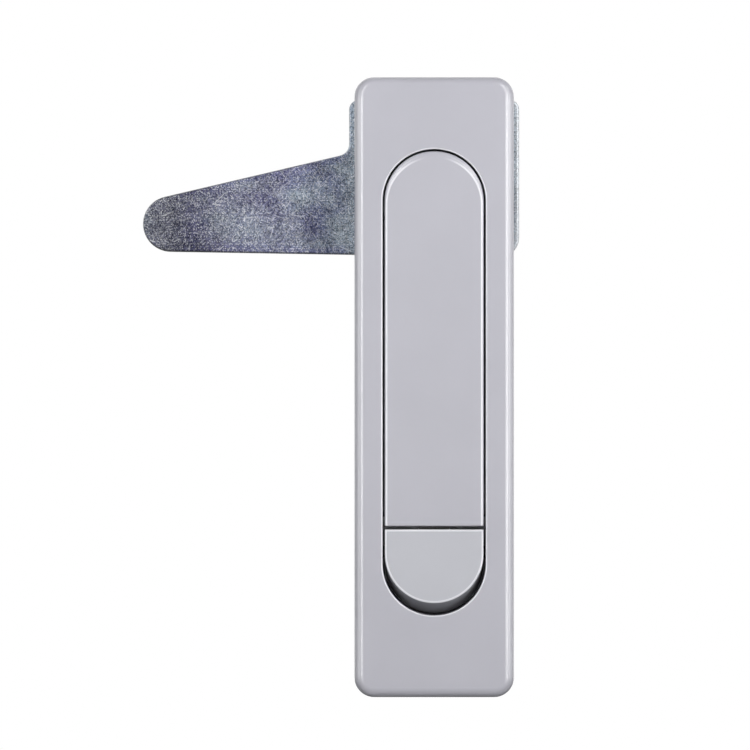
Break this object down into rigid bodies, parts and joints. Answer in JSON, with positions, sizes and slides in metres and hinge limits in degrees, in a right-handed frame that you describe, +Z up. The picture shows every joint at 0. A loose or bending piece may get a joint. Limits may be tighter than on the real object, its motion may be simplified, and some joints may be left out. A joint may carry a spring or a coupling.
{
  "type": "swing handle lock",
  "caption": "Flush swing handle lock for a sheet-metal door: a lever and a push button in a slot-shaped recess, and a flat cam with a tapered arm behind the door.",
  "frame": {"origin": "on the spindle axis, in the plane of the gasket's rear face, which is the front face of the door", "axes": "+Z up the door and along the handle, +X to the right as seen from the front, +Y through the door from the front to the back"},
  "size_m": [0.0819, 0.0324, 0.1322],
  "materials": {
    "painted_casting": "satin light grey powder coat",
    "painted_button": "satin light grey powder coat",
    "gasket_rubber": "matt black",
    "seal_rubber": "smooth black",
    "zinc_plate": "bright blue zinc plating, mottled and lightly scratched",
    "plated_fastener": "bright zinc plating",
    "bare_casting": "dull zinc casting",
    "steel_pin": "ground steel",
    "spring_steel": "drawn spring steel",
    "nylon": "natural nylon"
  },
  "bodies": {
    "housing": {"lock_body": "painted_casting", "gasket": "gasket_rubber", "upper_clamp": "zinc_plate", "lower_clamp": "zinc_plate", "upper_clamp_washer": "plated_fastener", "lower_clamp_washer": "plated_fastener", "upper_clamp_screw": "plated_fastener", "lower_clamp_screw": "plated_fastener", "stop_pin": "steel_pin", "button_pin": "steel_pin", "button_spring": "spring_steel", "catch_spring": "spring_steel", "catch_screw": "plated_fastener"},
    "spindle": {"spindle": "bare_casting", "spindle_seal": "seal_rubber", "hinge_pin": "steel_pin", "handle_spring": "spring_steel", "thrust_washer": "nylon", "stop_washer": "zinc_plate", "cam": "zinc_plate", "cam_washer": "plated_fastener", "cam_screw": "plated_fastener"},
    "handle": {"handle": "painted_casting"},
    "button": {"button": "painted_button"}
  },
  "joints": [
    {"name": "spindle_turn", "type": "hinge", "parent": "housing", "child": "spindle", "pos_m": [0, 0, 0], "axis": [0, -1, 0], "range_deg": [0, 90]},
    {"name": "handle_lift", "type": "hinge", "parent": "spindle", "child": "handle", "pos_m": [0, -0.00275, 0], "axis": [-1, 0, 0], "range_deg": [0, 90], "deforming": ["handle_spring", "catch_spring"]},
    {"name": "button_press", "type": "hinge", "parent": "housing", "child": "button", "pos_m": [0, 0.0035, -0.075], "axis": [1, 0, 0], "range_deg": [0, 10], "stiffness_Nm_per_rad": 0.1, "springref_deg": -14.32, "deforming": ["button_spring", "catch_spring"]}
  ],
  "couplings": [
    {"joint": "spindle_turn", "follows": "handle_lift", "ratio": 1}
  ]
}
